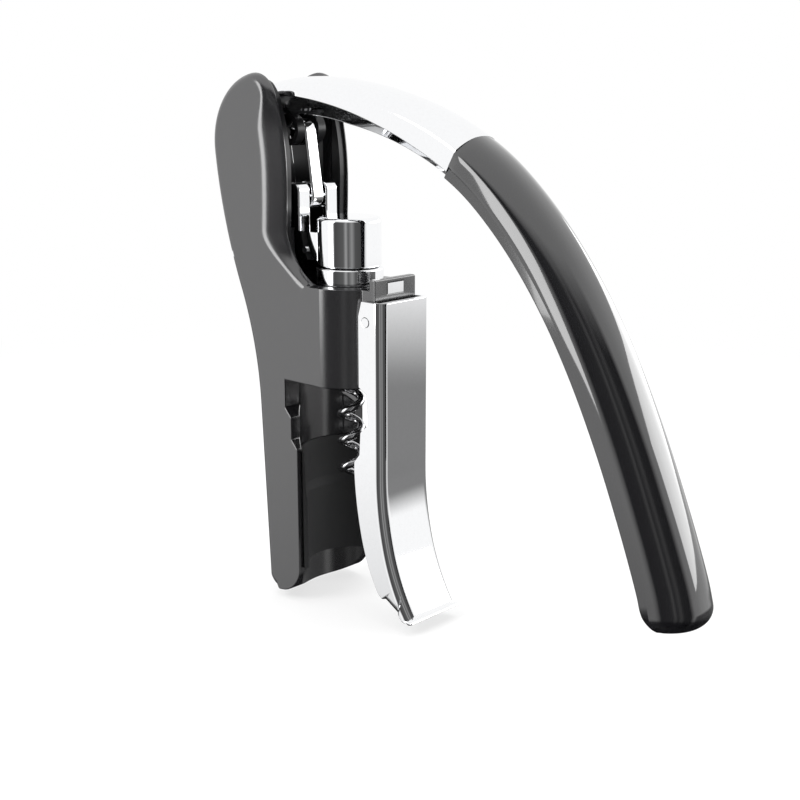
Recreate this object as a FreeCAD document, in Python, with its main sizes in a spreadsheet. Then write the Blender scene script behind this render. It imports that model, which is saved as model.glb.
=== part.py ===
import FreeCAD, Part
import math
import os

import Sketcher
from FreeCAD import Placement, Rotation, Vector

# A hand-held lever corkscrew, lever down. Millimetres, +Z up along the worm,
# +X towards the lever, origin at the middle of the neck clamp on the worm's axis.

doc = FreeCAD.newDocument("LeverCorkscrew")
sheet = doc.addObject("Spreadsheet::Sheet", "Sizes")

SIZES = {
    # Body shell
    "body_width": 34.0,
    "cheek_wall": 3.6,
    "head_top": 151.0,
    "head_reach": 47.5,
    "head_back_z": 126.0,
    "waist_reach": 36.0,
    "waist_z": 81.0,
    "grip_reach": 27.6,
    "grip_z": 43.0,
    "nape_inset": 4.2,
    "nape_drop": 23.0,
    "temple_inset": 6.5,
    "temple_drop": 6.3,
    "crest_x": 29.5,
    "crest_drop": 0.1,
    "brow_x": 22.5,
    "brow_drop": 1.7,
    "forehead_set": 4.2,
    "forehead_drop": 7.0,
    "cheek_bulge": 0.2,
    "cheek_drop": 8.0,
    "throat_set": 0.4,
    "throat_height": 16.0,
    "throat_curve": 24.0,
    "throat_end": 1.0,
    "shell_bottom": -22.0,
    "shell_foot_reach": 24.6,
    "shell_front": 8.4,
    "foot_height": 4.0,
    "foot_end": 20.0,
    "foot_corner": 6.0,
    "foot_curve": 11.0,
    "foot_drop": 1.5,
    "notch_slope": 3.0,
    "notch_depth": 2.7,
    "notch_step_low": 30.0,
    "notch_step_high": 40.5,
    "cheek_front": 14.4,
    "collar_top": 85.0,
    "collar_bottom": 53.0,
    "back_wall": 3.4,
    "channel_back_top": 120.0,
    # Neck clamp
    "neck_radius": 15.5,
    "clamp_half": 12.0,
    "pad_thickness": 1.6,
    "pad_lip": 1.0,
    "pad_top": 26.0,
    "lip_radius": 14.9,
    "lip_depth": 8.0,
    "seat_thickness": 1.6,
    # Guide plates and the pins of the body
    "plate_thickness": 2.4,
    "plate_setback": 0.9,
    "plate_inset": 1.6,
    "plate_foot": 1.0,
    "plate_toe": 3.0,
    "pivot_recess": 1.5,
    "slot_x": -21.0,
    "slot_width": 4.4,
    "side_pin_radius": 1.4,
    "side_pin_length": 3.2,
    "upper_pin_x": -37.2,
    "pin_recess": 0.15,
    "spacer_radius": 3.0,
    "spacer_setback": 4.1,
    "upper_pin_z": 92.7,
    "lower_pin_x": -18.9,
    "lower_pin_z": 5.0,
    # Lever and link
    "pivot_x": -37.5,
    "pivot_z": 139.0,
    "pivot_radius": 2.5,
    "link_top_x": -21.15,
    "link_top_z": 132.5,
    "link_low_x": -18.0,
    "link_low_z": 111.7,
    "link_width": 5.2,
    "link_half_depth": 4.0,
    "link_pin_radius": 1.4,
    "side_gap": 0.4,
    "head_play": 0.7,
    "boss_wall": 3.8,
    "washer_rim": 2.2,
    "washer_gap": 0.1,
    "fork_wall": 3.2,
    "fork_rim": 1.6,
    "fork_gap_back": 12.5,
    "fork_gap_front": 5.2,
    "fork_gap_top": 10.1,
    "slot_run": 5.6,
    "slot_height": 4.4,
    "slot_centre_x": 13.4,
    "slot_centre_z": -4.1,
    "slot_tilt": 142.0,
    "lever_swell": 0.4,
    "lever_reach": 172.7,
    "lever_depth": 13.8,
    "neck_inset": 0.6,
    "neck_thinning": 3.6,
    "crown_rise": 5.0,
    "belly_round": 2.4,
    "cover_round": 0.6,
    "insert_depth": 3.6,
    "insert_rise": 0.4,
    "insert_inset": 0.5,
    "screw_radius": 2.2,
    "screw_head": 2.4,
    "screw_sink": 0.9,
    # Carriage
    "ear_width": 5.2,
    "ear_front": 14.2,
    "ear_depth": 9.4,
    "ear_top": 116.4,
    "ear_round": 1.6,
    "ear_side_gap": 1.0,
    "bridge_front": 6.0,
    "bridge_low": 92.2,
    "bridge_height": 9.0,
    "cap_radius": 10.4,
    "cap_top": 106.3,
    "cap_bottom": 90.6,
    "cap_wall": 1.5,
    "shoe_length": 9.0,
    "travel": 35.1,
    "stub_radius": 1.1,
    "stub_inset": 3.0,
    "stub_reach": 0.6,
    # Worm guide
    "ring_radius": 11.0,
    "ring_gap": 0.3,
    "ring_flange": 12.0,
    "guide_bore": 12.3,
    "shelf_radius": 9.0,
    "shelf_thickness": 5.0,
    "flange_height": 5.0,
    "nut_radius": 8.2,
    "nut_bore": 5.4,
    "tooth_radius": 1.2,
    "tooth_reach": 2.6,
    "retainer_thickness": 1.6,
    "nut_shoulder": 2.5,
    "nut_lip": 0.6,
    "first_tooth_z": 75.0,
    # Worm
    "worm_mean_radius": 3.3,
    "worm_wire": 1.35,
    "worm_pitch": 9.5,
    "worm_tip": 16.0,
    "worm_hub_radius": 6.0,
    "worm_hub_low": 92.3,
    "clip_thickness": 1.0,
    "clip_bore": 5.0,
    "washer_thickness": 0.45,
    "bearing_wall": 3.5,
    # Front jaw
    "jaw_half_width": 11.5,
    "jaw_wall": 1.7,
    "jaw_face": 25.0,
    "jaw_face_wall": 2.4,
    "jaw_top": 81.8,
    "jaw_bottom": -21.0,
    "jaw_flare": 36.5,
    "jaw_rear": 14.8,
    "jaw_round": 3.4,
    "jaw_pin_x": 18.0,
    "jaw_pin_z": 75.3,
    "jaw_pin_radius": 1.5,
    "boss_radius": 4.2,
    "boss_half_width": 9.4,
    "boss_nose": 2.3,
    "lug_top": 88.5,
    "lug_depth": 2.6,
    "catch_depth": 0.8,
    "catch_height": 3.4,
    "catch_half_width": 3.6,
    "catch_drop": 1.4,
    "insert_top": 66.0,
    "insert_bottom": 8.0,
    # Running fits
    "pin_clearance": 0.05,
    "face_clearance": 0.3,
}

for row, (alias, value) in enumerate(SIZES.items(), start=1):
    sheet.set("A%d" % row, alias)
    sheet.set("B%d" % row, str(value))
    sheet.setAlias("B%d" % row, alias)
doc.recompute()

PARTS = []
INNER = "(body_width/2-cheek_wall)"
HEAD_WIDTH = "(2*(%s-plate_thickness-head_play))" % INNER
LEVER_WIDTH = "(%s+lever_swell)" % HEAD_WIDTH
BACK_SLOPE = "((head_reach-waist_reach-2)/(head_back_z-18-collar_top))"
SPACER_X = "(-waist_reach+back_wall-%s*(upper_pin_z-collar_top)+spacer_setback)" % BACK_SLOPE


def val(text):
    """The value of a sheet expression as a plain number."""
    result = sheet.evalExpression(full(text))
    return float(getattr(result, "Value", result))


def full(text):
    """An expression with each size name made a reference to the sheet."""
    words = []
    word = ""
    for letter in str(text) + " ":
        if letter.isalnum() or letter == "_":
            word += letter
            continue
        words.append("Sizes." + word if word in SIZES else word)
        words.append(letter)
        word = ""
    return "".join(words).strip()


def bind(obj, **texts):
    for prop, text in texts.items():
        obj.setExpression(prop, full(text))


def keep(obj, label):
    obj.Label = label
    PARTS.append(obj)
    return obj


def place(obj, x="0", y="0", z="0", axis=Vector(0, 0, 1), angle=0):
    """Set the turn once and bind the position to the sheet."""
    obj.Placement = Placement(Vector(0, 0, 0), Rotation(axis, angle))
    for letter, text in zip("xyz", (x, y, z)):
        obj.setExpression("Placement.Base." + letter, full(text))
    return obj


def box(name, x0, x1, y0, y1, z0, z1):
    obj = doc.addObject("Part::Box", name)
    bind(obj, Length="(%s)-(%s)" % (x1, x0), Width="(%s)-(%s)" % (y1, y0), Height="(%s)-(%s)" % (z1, z0))
    return place(obj, x0, y0, z0)


def upright(name, radius, z0, z1, x="0", y="0"):
    obj = doc.addObject("Part::Cylinder", name)
    bind(obj, Radius=radius, Height="(%s)-(%s)" % (z1, z0))
    return place(obj, x, y, z0)


def crosswise(name, radius, x, z, y0, y1):
    """A cylinder along Y from y0 to y1."""
    obj = doc.addObject("Part::Cylinder", name)
    bind(obj, Radius=radius, Height="(%s)-(%s)" % (y1, y0))
    return place(obj, x, y0, z, Vector(1, 0, 0), -90)


def join(name, pieces):
    obj = doc.addObject("Part::MultiFuse", name)
    obj.Shapes = pieces
    obj.Refine = True
    return obj


def cut(name, base, tool):
    obj = doc.addObject("Part::Cut", name)
    obj.Base = base
    obj.Tool = tool
    obj.Refine = True
    return obj


def new_body(label):
    return keep(doc.addObject("PartDesign::Body", label), label)


def plane(body, role):
    return next(f for f in body.Origin.OriginFeatures if f.Role == role)


def arc_radii(points, words):
    """The signed radius of each arc that leads on from a point, None for a straight edge.

    A positive radius bulges to the left of the way from its corner to the next. The word
    "after" makes the arc run on smoothly from the edge before it, "before" into the next one.
    """
    count = len(points)
    chords = [points[(i + 1) % count] - points[i] for i in range(count)]
    radii = [None if word is None or word in ("after", "before") else val(word) for word in words]
    for word, order, step in (("after", range(count), -1), ("before", reversed(range(count)), 1)):
        for i in order:
            if words[i] != word:
                continue
            other = (i + step) % count
            heading = Vector(chords[other]).normalize()
            if radii[other]:
                turn = -step * math.asin(chords[other].Length / 2 / radii[other])
                heading = Rotation(Vector(0, 0, 1), -math.degrees(turn)).multVec(heading)
            across = step * chords[i].cross(heading).z
            radii[i] = -chords[i].Length ** 2 / (2 * across)
    return radii


def outline(body, name, role, corners, raised=None):
    """A closed sketch through corners (across, up) or (across, up, arc that leads on)."""
    sketch = body.newObject("Sketcher::SketchObject", name)
    sketch.AttachmentSupport = [(plane(body, role), "")]
    sketch.MapMode = "FlatFace"
    if raised is not None:
        sketch.setExpression("AttachmentOffset.Base.z", full(raised))
    count = len(corners)
    points = [Vector(val(corner[0]), val(corner[1]), 0) for corner in corners]
    words = [corner[2] if len(corner) == 3 else None for corner in corners]
    radii = arc_radii(points, words)
    for i, radius in enumerate(radii):
        a = points[i]
        b = points[(i + 1) % count]
        if radius is None:
            sketch.addGeometry(Part.LineSegment(a, b), False)
            continue
        half = (b - a).Length / 2
        normal = Vector(-(b - a).y, (b - a).x, 0).normalize()
        rise = abs(radius) - math.sqrt(radius * radius - half * half)
        middle = (a + b) * 0.5 + normal * math.copysign(rise, radius)
        ends = (b, a) if radius > 0 else (a, b)
        sketch.addGeometry(Part.Arc(ends[0], middle, ends[1]), False)
    starts = [2 if radius and radius > 0 else 1 for radius in radii]
    constraints = []
    bound = []
    for i, corner in enumerate(corners):
        smooth = words[i] == "after" or words[i - 1] == "before"
        constraints.append(Sketcher.Constraint("Tangent" if smooth else "Coincident",
                                               i - 1 if i else count - 1, 3 - starts[i - 1], i, starts[i]))
        for kind, text in (("DistanceX", corner[0]), ("DistanceY", corner[1])):
            bound.append((len(constraints), full(text)))
            constraints.append(Sketcher.Constraint(kind, -1, 1, i, starts[i], val(text)))
        if words[i] not in (None, "after", "before"):
            bound.append((len(constraints), full("abs(%s)" % words[i])))
            constraints.append(Sketcher.Constraint("Radius", i, abs(radii[i])))
    sketch.addConstraint(constraints)
    for number, text in bound:
        sketch.setExpression("Constraints[%d]" % number, text)
    return sketch


def circle(body, name, role, across, up, radius, raised=None):
    sketch = body.newObject("Sketcher::SketchObject", name)
    sketch.AttachmentSupport = [(plane(body, role), "")]
    sketch.MapMode = "FlatFace"
    if raised is not None:
        sketch.setExpression("AttachmentOffset.Base.z", full(raised))
    sketch.addGeometry(Part.Circle(Vector(val(across), val(up), 0), Vector(0, 0, 1), val(radius)), False)
    for kind, text in (("DistanceX", across), ("DistanceY", up)):
        number = sketch.addConstraint(Sketcher.Constraint(kind, -1, 1, 0, 3, val(text)))
        sketch.setExpression("Constraints[%d]" % number, full(text))
    number = sketch.addConstraint(Sketcher.Constraint("Radius", 0, val(radius)))
    sketch.setExpression("Constraints[%d]" % number, full(radius))
    return sketch


def pad(body, sketch, name, length):
    """A pad to both sides of its sketch."""
    feature = body.newObject("PartDesign::Pad", name)
    feature.Profile = sketch
    feature.Midplane = True
    bind(feature, Length=length)
    doc.recompute()
    return feature


def pocket(body, sketch, name, length):
    """A pocket to both sides of its sketch, which has to take material away."""
    before = body.Shape.Volume
    feature = body.newObject("PartDesign::Pocket", name)
    feature.Profile = sketch
    feature.Midplane = True
    bind(feature, Length=length)
    doc.recompute()
    if body.Shape.Volume >= before:
        raise RuntimeError(name + " cuts nothing")
    return feature


def groove(body, sketch, name):
    """A full turn about Z, taken away."""
    before = body.Shape.Volume
    feature = body.newObject("PartDesign::Groove", name)
    feature.Profile = sketch
    feature.ReferenceAxis = (plane(body, "Z_Axis"), [""])
    feature.Angle = 360
    doc.recompute()
    if body.Shape.Volume >= before:
        raise RuntimeError(name + " cuts nothing")
    return feature


def turned(label, corners):
    """A body of revolution about Z from (radius, height) corners."""
    body = new_body(label)
    sketch = outline(body, label + "_section", "XZ_Plane", corners)
    feature = body.newObject("PartDesign::Revolution", label + "_turn")
    feature.Profile = sketch
    feature.ReferenceAxis = (plane(body, "Z_Axis"), [""])
    feature.Angle = 360
    doc.recompute()
    return body


def round_edges(body, name, radius, wanted):
    """Round the edges of the body's last feature whose middle point is wanted."""
    base = body.Tip
    names = []
    for number, edge in enumerate(base.Shape.Edges, start=1):
        middle = edge.valueAt((edge.FirstParameter + edge.LastParameter) / 2)
        if wanted(edge, middle):
            names.append("Edge%d" % number)
    feature = body.newObject("PartDesign::Fillet", name)
    feature.Base = (base, names)
    bind(feature, Radius=radius)
    doc.recompute()
    return feature


# Body shell: two cheeks, the round collar and the rear half shell in one casting
def body_shell():
    body = new_body("body_shell")
    side = [
        ("-shell_foot_reach", "shell_bottom+foot_height"),
        ("-grip_reach", "grip_z", "after"),
        ("-waist_reach", "waist_z", "after"),
        ("-head_reach+nape_inset", "head_back_z-nape_drop", "after"),
        ("-head_reach", "head_back_z", "after"),
        ("-head_reach+temple_inset", "head_top-temple_drop", "after"),
        ("-crest_x", "head_top-crest_drop", "after"),
        ("-brow_x", "head_top-brow_drop", "after"),
        ("-cheek_front-forehead_set", "head_top-forehead_drop", "after"),
        ("-cheek_front+cheek_bulge", "head_back_z-cheek_drop", "after"),
        ("-cheek_front-throat_set", "collar_top+throat_height", "-throat_curve"),
        ("-throat_end", "collar_top"),
        ("body_width/2+1", "collar_top"),
        ("body_width/2+1", "collar_bottom"),
        ("-shell_front-2*notch_depth", "collar_bottom"),
        ("-shell_front-2*notch_depth", "notch_step_high+notch_slope"),
        ("-shell_front-notch_depth", "notch_step_high"),
        ("-shell_front-notch_depth", "notch_step_low+notch_slope"),
        ("-shell_front", "notch_step_low"),
        ("-shell_front", "-clamp_half-foot_drop", "foot_curve"),
        ("-foot_end", "shell_bottom", "foot_corner"),
    ]
    pad(body, outline(body, "side_view", "XZ_Plane", side), "cheek_block", "body_width")
    half = "body_width/2"
    swell = "(body_width/2+face_clearance)"
    meet = "sqrt(%s^2-(%s)^2)" % (swell, half)
    front = [
        (meet, half, swell),
        (swell, "0", swell),
        (meet, "-" + half),
        (meet, "-body_width"),
        ("body_width", "-body_width"),
        ("body_width", "body_width"),
        (meet, "body_width"),
    ]
    pocket(body, outline(body, "collar_plan", "XY_Plane", front), "round_collar", "3*head_top")
    boss = [
        ("jaw_pin_x-8", "collar_top-20"),
        ("jaw_pin_x", "jaw_pin_z-boss_radius", "-boss_radius"),
        ("jaw_pin_x+boss_nose", "jaw_pin_z+sqrt(boss_radius^2-boss_nose^2)"),
        ("jaw_pin_x+boss_nose", "lug_top"),
        ("jaw_pin_x+boss_nose-lug_depth", "lug_top"),
        ("jaw_pin_x+boss_nose-lug_depth", "collar_top"),
        ("jaw_pin_x-8", "collar_top"),
    ]
    pad(body, outline(body, "boss_view", "XZ_Plane", boss), "jaw_boss", "2*boss_half_width")
    catch = [
        ("jaw_pin_x+boss_nose-catch_depth", "lug_top-catch_drop"),
        ("jaw_pin_x+boss_nose+1", "lug_top-catch_drop"),
        ("jaw_pin_x+boss_nose+1", "lug_top-catch_drop-catch_height"),
        ("jaw_pin_x+boss_nose-catch_depth", "lug_top-catch_drop-catch_height"),
    ]
    pocket(body, outline(body, "catch_view", "XZ_Plane", catch), "catch_seat", "2*catch_half_width")
    channel = [
        ("shelf_radius", "collar_top"),
        ("-waist_reach+back_wall", "collar_top"),
        ("-head_reach+back_wall+2", "head_back_z-18"),
        ("-head_reach+back_wall", "channel_back_top"),
        ("-head_reach-5", "channel_back_top"),
        ("-head_reach-5", "head_top+5"),
        ("shelf_radius", "head_top+5"),
    ]
    inside = "body_width-2*cheek_wall"
    pocket(body, outline(body, "channel_view", "XZ_Plane", channel), "channel", inside)
    bores = [
        ("0", "collar_bottom-1"),
        ("lip_radius", "collar_bottom-1"),
        ("lip_radius", "collar_bottom+lip_depth"),
        ("shelf_radius", "collar_bottom+lip_depth"),
        ("shelf_radius", "collar_bottom+lip_depth+shelf_thickness"),
        ("guide_bore", "collar_bottom+lip_depth+shelf_thickness"),
        ("guide_bore", "collar_top+1"),
        ("0", "collar_top+1"),
    ]
    groove(body, outline(body, "bore_section", "XZ_Plane", bores), "collar_bores")
    cavity = [
        ("0", "shell_bottom-2"),
        ("neck_radius+pad_thickness", "shell_bottom-2"),
        ("neck_radius+pad_thickness", "collar_bottom"),
        ("0", "collar_bottom"),
    ]
    groove(body, outline(body, "cavity_section", "XZ_Plane", cavity), "neck_cavity")
    for name, x, z, radius, length in (
        ("upper_pin_hole", "upper_pin_x", "upper_pin_z", "side_pin_radius", "2*body_width"),
        ("lower_pin_hole", "lower_pin_x", "lower_pin_z", "side_pin_radius", "2*body_width"),
        ("jaw_pin_hole", "jaw_pin_x", "jaw_pin_z", "jaw_pin_radius", "2*body_width"),
        ("pivot_hole", "pivot_x", "pivot_z", "pivot_radius", "body_width-2*pivot_recess"),
    ):
        pocket(body, circle(body, name + "_sketch", "XZ_Plane", x, z, radius), name, length)
    return body


# Guide plates: the inner frame inside each cheek, slotted for the carriage
def guide_plate(label, side):
    body = new_body(label)
    view = [
        ("-waist_reach+back_wall+face_clearance", "collar_top+plate_foot"),
        ("-head_reach+back_wall+2+face_clearance", "head_back_z-18"),
        ("-head_reach+back_wall+face_clearance", "channel_back_top"),
        ("-head_reach+plate_inset", "channel_back_top+1", "30"),
        ("-head_reach+temple_inset+plate_setback", "head_top-temple_drop-plate_setback", "22"),
        ("-crest_x", "head_top-crest_drop-1.5*plate_setback", "14"),
        ("-brow_x-plate_setback/2", "head_top-brow_drop-1.5*plate_setback", "14"),
        ("-cheek_front-forehead_set-plate_setback", "head_top-forehead_drop-plate_setback", "70"),
        ("-cheek_front+cheek_bulge-plate_setback", "head_back_z-cheek_drop"),
        ("-cheek_front-throat_set-plate_setback", "collar_top+throat_height", "-throat_curve"),
        ("-cheek_front+plate_toe", "collar_top+1.5*plate_toe"),
        ("-cheek_front+plate_toe/3", "collar_top+plate_foot"),
    ]
    sketch = outline(body, label + "_view", "XZ_Plane", view)
    middle = "(%s-plate_thickness/2)" % INNER
    sketch.setExpression("AttachmentOffset.Base.z", full("%d*%s" % (-side, middle)))
    pad(body, sketch, label + "_plate", "plate_thickness")
    slot = [
        ("slot_x-slot_width/2", "bridge_low-1"),
        ("slot_x+slot_width/2", "bridge_low-1"),
        ("slot_x+slot_width/2", "bridge_low+shoe_length+travel+1.2"),
        ("slot_x-slot_width/2", "bridge_low+shoe_length+travel+1.2"),
    ]
    pocket(body, outline(body, label + "_slot_view", "XZ_Plane", slot), label + "_slot", "body_width")
    pin = circle(body, label + "_pin_circle", "XZ_Plane", "pivot_x", "pivot_z", "pivot_radius")
    pocket(body, pin, label + "_pin_hole", "body_width")
    pin = circle(body, label + "_foot_circle", "XZ_Plane", SPACER_X, "upper_pin_z", "side_pin_radius")
    pocket(body, pin, label + "_foot_hole", "body_width")
    return body


# Pins, bushes and spacers held by the body
def frame_hardware():
    ends = "(body_width/2-pivot_recess)"
    keep(crosswise("PivotPin", "pivot_radius", "pivot_x", "pivot_z", "-" + ends, ends), "lever_pivot_pin")
    faces = INNER + "-plate_thickness"
    spacer = crosswise("Spacer", "spacer_radius", SPACER_X, "upper_pin_z", "-(%s)" % faces, faces)
    rivet = crosswise("Rivet", "side_pin_radius", SPACER_X, "upper_pin_z", "-" + INNER, INNER)
    keep(join("SpacerJoined", [spacer, rivet]), "frame_spacer")
    bushes = []
    for side in (-1, 1):
        near = "%s/2+washer_gap" % HEAD_WIDTH
        y0, y1 = (near, faces) if side > 0 else ("-(%s)" % faces, "-(%s)" % near)
        ring = crosswise("BushOuter%d" % (side + 2), "pivot_radius+washer_rim", "pivot_x", "pivot_z", y0, y1)
        hole = crosswise("BushInner%d" % (side + 2), "pivot_radius", "pivot_x", "pivot_z",
                         "-body_width", "body_width")
        bushes.append(cut("Bush%d" % (side + 2), ring, hole))
    keep(compound("PivotBushes", bushes), "pivot_washers")
    for label, x, z in (("upper_side_pins", "upper_pin_x", "upper_pin_z"),
                        ("lower_side_pins", "lower_pin_x", "lower_pin_z")):
        pins = []
        for side in (-1, 1):
            outer = "body_width/2-pin_recess"
            inside = "body_width/2-side_pin_length"
            y0, y1 = (inside, outer) if side > 0 else ("-(%s)" % outer, "-(%s)" % inside)
            pins.append(crosswise(label + "Pin%d" % (side + 2), "side_pin_radius", x, z, y0, y1))
        keep(compound(label + "Group", pins), label)
    keep(box("Catch", "jaw_pin_x+boss_nose-catch_depth", "jaw_pin_x+boss_nose+0.1", "-catch_half_width",
             "catch_half_width", "lug_top-catch_drop-catch_height", "lug_top-catch_drop"), "front_catch")
    keep(crosswise("JawPin", "jaw_pin_radius", "jaw_pin_x", "jaw_pin_z", "-jaw_half_width-0.1",
                   "jaw_half_width+0.1"), "jaw_hinge_pin")


def compound(name, pieces):
    obj = doc.addObject("Part::Compound", name)
    obj.Links = pieces
    return obj


# Rubber pad that grips the neck, and the rubber ring that meets the bottle's lip
def neck_pads():
    body = new_body("rear_neck_pad")
    section = [
        ("neck_radius", "-clamp_half"),
        ("neck_radius+pad_thickness", "-clamp_half"),
        ("neck_radius+pad_thickness", "pad_top+3"),
        ("neck_radius+pad_thickness-0.5", "pad_top+3"),
        ("neck_radius+0.6", "clamp_half+3"),
        ("neck_radius", "clamp_half"),
    ]
    sketch = outline(body, "pad_section", "XZ_Plane", section)
    feature = body.newObject("PartDesign::Revolution", "pad_turn")
    feature.Profile = sketch
    feature.ReferenceAxis = (plane(body, "Z_Axis"), [""])
    feature.Angle = 360
    doc.recompute()
    front = [
        ("-shell_front+pad_lip", "-body_width"),
        ("body_width", "-body_width"),
        ("body_width", "body_width"),
        ("-shell_front+pad_lip", "body_width"),
    ]
    pocket(body, outline(body, "pad_front", "XY_Plane", front), "pad_half", "3*head_top")
    turned("lip_seat_ring", [
        ("shelf_radius+1", "collar_bottom+lip_depth-seat_thickness"),
        ("lip_radius", "collar_bottom+lip_depth-seat_thickness"),
        ("lip_radius", "collar_bottom+lip_depth"),
        ("shelf_radius+1", "collar_bottom+lip_depth"),
    ])


TURN = 360
QUARTER = 90


# Worm guide: chrome ring, nut with its teeth and a retaining ring, in the collar
def worm_guide():
    floor = "collar_bottom+lip_depth+shelf_thickness"
    turned("worm_guide_ring", [
        ("nut_radius", floor),
        ("ring_flange", floor),
        ("ring_flange", floor + "+flange_height"),
        ("ring_radius", floor + "+flange_height"),
        ("ring_radius", "cap_bottom-ring_gap-0.8"),
        ("ring_radius-0.8", "cap_bottom-ring_gap"),
        ("nut_bore+nut_lip", "cap_bottom-ring_gap"),
        ("nut_bore+nut_lip", "cap_bottom-ring_gap-nut_shoulder"),
        ("nut_radius", "cap_bottom-ring_gap-nut_shoulder"),
    ])
    nut_low = floor + "+retainer_thickness"
    nut_high = "cap_bottom-ring_gap-nut_shoulder"
    sleeve = cut("NutSleeve", upright("NutOuter", "nut_radius", nut_low, nut_high),
                 upright("NutBore", "nut_bore", floor, "cap_bottom"))
    teeth = [sleeve]
    for number in range(2):
        teeth.append(tooth(number))
    keep(join("NutJoined", teeth), "worm_nut")
    keep(cut("Retainer", upright("RetainerOuter", "nut_radius", floor, nut_low),
             upright("RetainerBore", "nut_bore+0.4", floor + "-1", "collar_top")), "nut_retainer")


def tooth(number):
    """A short pin that stands into the gap between two turns of the worm."""
    height = val("first_tooth_z") + number * val("worm_pitch") / 2
    turn = (height - val("worm_tip")) / val("worm_pitch") * TURN + TURN / 2
    direction = Vector(math.cos(math.radians(turn)), math.sin(math.radians(turn)), 0)
    obj = doc.addObject("Part::Cylinder", "Tooth%d" % number)
    bind(obj, Radius="tooth_radius", Height="nut_bore-tooth_reach+0.8")
    start = direction * val("tooth_reach")
    obj.Placement = Placement(Vector(start.x, start.y, height), Rotation(Vector(0, 0, 1), direction))
    return obj


# Carriage: clevis ears, the bridge to the cap seat, its pins, shoes and the chrome cap
def carriage():
    back = "-ear_front-ear_depth"
    gap = "(link_width/2+ear_side_gap)"
    outer = "(%s+ear_width)" % gap
    pieces = []
    for side in (-1, 1):
        y0, y1 = (gap, outer) if side > 0 else ("-(%s)" % outer, "-(%s)" % gap)
        ear = box("Ear%d" % (side + 2), back, "-ear_front", y0, y1, "bridge_low", "ear_top-ear_round")
        crest = box("Crest%d" % (side + 2), back, "-ear_front-ear_round", y0, y1, "ear_top-ear_round", "ear_top")
        pieces += [ear, crest]
    pieces.append(box("Bridge", back, "-bridge_front", "-(%s)" % outer, outer, "bridge_low", "bridge_low+bridge_height"))
    pieces.append(upright("CapSeat", "cap_radius-cap_wall", "bridge_low", "cap_top-cap_wall"))
    solid = join("CarriageJoined", pieces)
    holes = join("CarriageHoles", [
        crosswise("LowPinHole", "link_pin_radius", "link_low_x", "link_low_z", "-body_width", "body_width"),
        upright("WormBearing", "worm_hub_radius+pin_clearance", "bridge_low-1", "cap_top-cap_wall-bearing_wall+0.5"),
        crosswise("StubHole", "stub_radius", "-ear_front+stub_inset", "bridge_low+stub_inset",
                  "-body_width", "body_width"),
    ])
    keep(cut("CarriageCut", solid, holes), "carriage")
    low = crosswise("LowPin", "link_pin_radius", "link_low_x", "link_low_z", "-(%s)" % outer, outer)
    keep(low, "link_lower_pin")
    stub = crosswise("Stub", "stub_radius", "-ear_front+stub_inset", "bridge_low+stub_inset",
                     "-(%s)-stub_reach" % outer, outer + "+stub_reach")
    keep(stub, "carriage_cross_pin")
    shoes = []
    ends = "(%s-face_clearance)" % INNER
    for side in (-1, 1):
        y0, y1 = (outer, ends) if side > 0 else ("-" + ends, "-" + outer)
        shoes.append(box("Shoe%d" % (side + 2), "slot_x-slot_width/2+face_clearance/2",
                         "slot_x+slot_width/2-face_clearance/2", y0, y1,
                         "bridge_low+0.2", "bridge_low+0.2+shoe_length"))
    keep(compound("Shoes", shoes), "guide_shoes")
    body = turned("worm_cap", [
        ("0", "cap_top-cap_wall"),
        ("cap_radius-cap_wall", "cap_top-cap_wall"),
        ("cap_radius-cap_wall", "cap_bottom"),
        ("cap_radius-0.4", "cap_bottom"),
        ("cap_radius", "cap_bottom+0.4"),
        ("cap_radius", "cap_top-1.6", "-1.6"),
        ("cap_radius-1.6", "cap_top"),
        ("0", "cap_top"),
    ])
    window = [
        ("-2*cap_radius", "-(%s)-0.1" % outer),
        ("-bridge_front", "-(%s)-0.1" % outer),
        ("-bridge_front", outer + "+0.1"),
        ("-2*cap_radius", outer + "+0.1"),
    ]
    sketch = outline(body, "cap_window", "XY_Plane", window, "bridge_low")
    pocket(body, sketch, "cap_rear_window", "2*bridge_height+0.1")


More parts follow.
